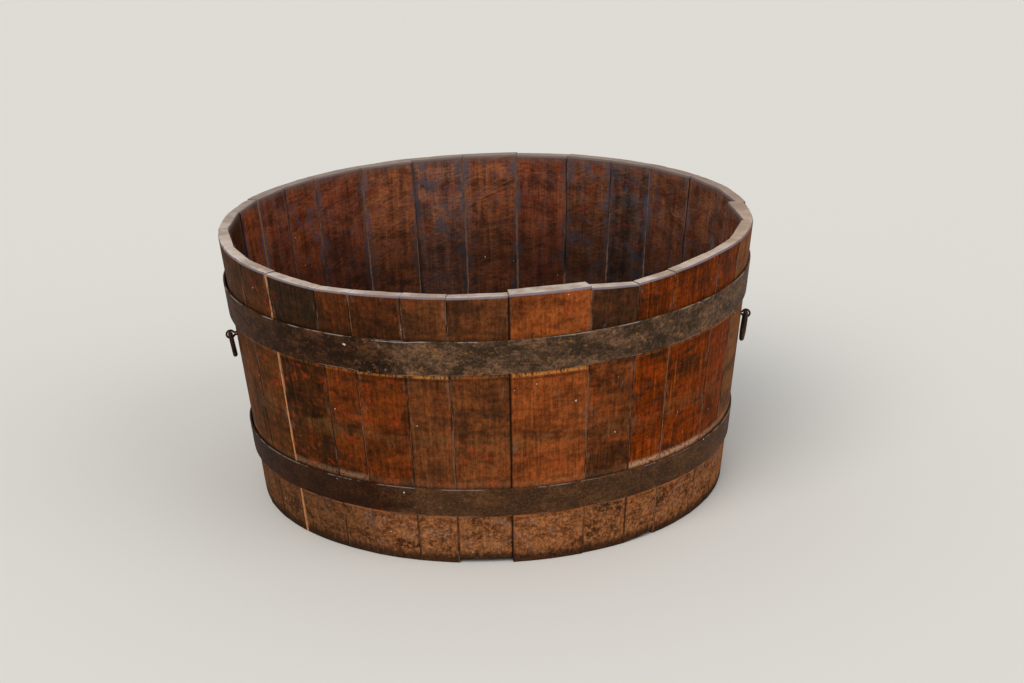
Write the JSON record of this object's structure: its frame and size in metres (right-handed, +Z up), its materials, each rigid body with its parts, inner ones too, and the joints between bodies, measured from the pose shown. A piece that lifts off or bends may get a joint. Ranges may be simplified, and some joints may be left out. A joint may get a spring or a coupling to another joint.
{
  "type": "planter tub",
  "caption": "Round flared planter tub coopered from irregular wooden staves, bound by lapped and riveted iron hoops, with a boarded head inside the foot and an iron ring handle on each side.",
  "frame": {"origin": "middle of the tub's foot, on the floor it stands on", "axes": "+Z up along the tub's axis; the side shown in front is -Y; the ring handles hang near +X and -X"},
  "size_m": [0.7575, 0.76, 0.3886],
  "materials": {
    "stave_russet": "old reddish-brown varnish over straight grain, worn pale at the edges",
    "stave_umber": "old dark brown varnish over straight grain",
    "stave_amber": "bright orange-brown varnish with dark patches",
    "stave_slate": "nearly black stain, matte",
    "head_wood": "bare darkened boards",
    "dowel_wood": "raw turned wood",
    "hoop_iron": "dark olive-brown flat iron, rust-mottled, bright along its edges",
    "rivet_iron": "hammered dark iron",
    "ring_iron": "blackened round bar with rubbed grey highlights"
  },
  "bodies": {
    "tub": {"stave_01": "stave_russet", "stave_02": "stave_umber", "stave_03": "stave_russet", "stave_04": "stave_slate", "stave_05": "stave_russet", "stave_06": "stave_russet", "stave_07": "stave_umber", "stave_08": "stave_russet", "stave_09": "stave_russet", "stave_10": "stave_umber", "stave_11": "stave_russet", "stave_12": "stave_russet", "stave_13": "stave_umber", "stave_14": "stave_russet", "stave_15": "stave_umber", "stave_16": "stave_russet", "stave_17": "stave_russet", "stave_18": "stave_russet", "stave_19": "stave_umber", "stave_20": "stave_russet", "stave_21": "stave_umber", "stave_22": "stave_umber", "stave_23": "stave_amber", "stave_24": "stave_slate", "stave_25": "stave_amber", "stave_26": "stave_amber", "stave_27": "stave_russet", "stave_28": "stave_russet", "stave_29": "stave_umber", "head_board_01": "head_wood", "head_board_02": "head_wood", "head_board_03": "head_wood", "head_board_04": "head_wood", "head_board_05": "head_wood", "dowel_01a": "dowel_wood", "dowel_01b": "dowel_wood", "dowel_02a": "dowel_wood", "dowel_02b": "dowel_wood", "dowel_03a": "dowel_wood", "dowel_03b": "dowel_wood", "dowel_04a": "dowel_wood", "dowel_04b": "dowel_wood", "upper_hoop": "hoop_iron", "lower_hoop": "hoop_iron", "upper_hoop_rivet_01": "rivet_iron", "upper_hoop_rivet_02": "rivet_iron", "lower_hoop_rivet_01": "rivet_iron", "lower_hoop_rivet_02": "rivet_iron", "eye_right": "ring_iron", "eye_left": "ring_iron", "eye_rove_right": "rivet_iron", "eye_rove_left": "rivet_iron"},
    "right_handle": {"ring_right": "ring_iron"},
    "left_handle": {"ring_left": "ring_iron"}
  },
  "joints": [
    {"name": "right_ring_swing", "type": "hinge", "parent": "tub", "child": "right_handle", "pos_m": [0.36938, -0.04535, 0.24242], "axis": [-0.1219, -0.9925, 0], "range_deg": [-2, 180]},
    {"name": "left_ring_swing", "type": "hinge", "parent": "tub", "child": "left_handle", "pos_m": [-0.36532, -0.07101, 0.24242], "axis": [-0.1908, 0.9816, 0], "range_deg": [-2, 180]}
  ]
}
